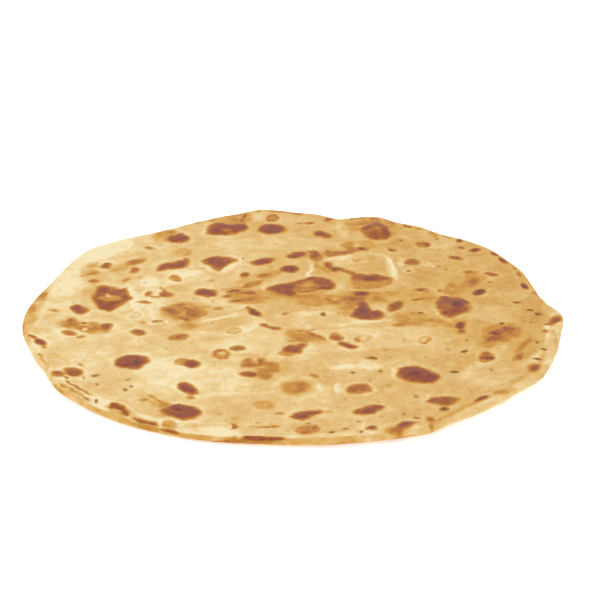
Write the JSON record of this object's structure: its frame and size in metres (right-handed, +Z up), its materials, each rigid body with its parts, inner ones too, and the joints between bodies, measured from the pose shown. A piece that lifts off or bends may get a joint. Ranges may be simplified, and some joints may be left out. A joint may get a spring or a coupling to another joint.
{
  "type": "chapati flatbread",
  "caption": "Thin round wheat flatbread with an uneven hand-rolled outline, a pleated rim and a browned, blistered top, lying flat.",
  "frame": {"origin": "middle of the bread's outline, on the surface that it lies on", "axes": "+Z up out of the browned top; +X towards the side with the pleat in the rim; -Y towards the side where the rim is thickest"},
  "size_m": [0.1994, 0.1982, 0.0044],
  "materials": {
    "baked_dough": "matte, with browned spots"
  },
  "bodies": {
    "root": {"flatbread": "baked_dough"}
  },
  "joints": []
}
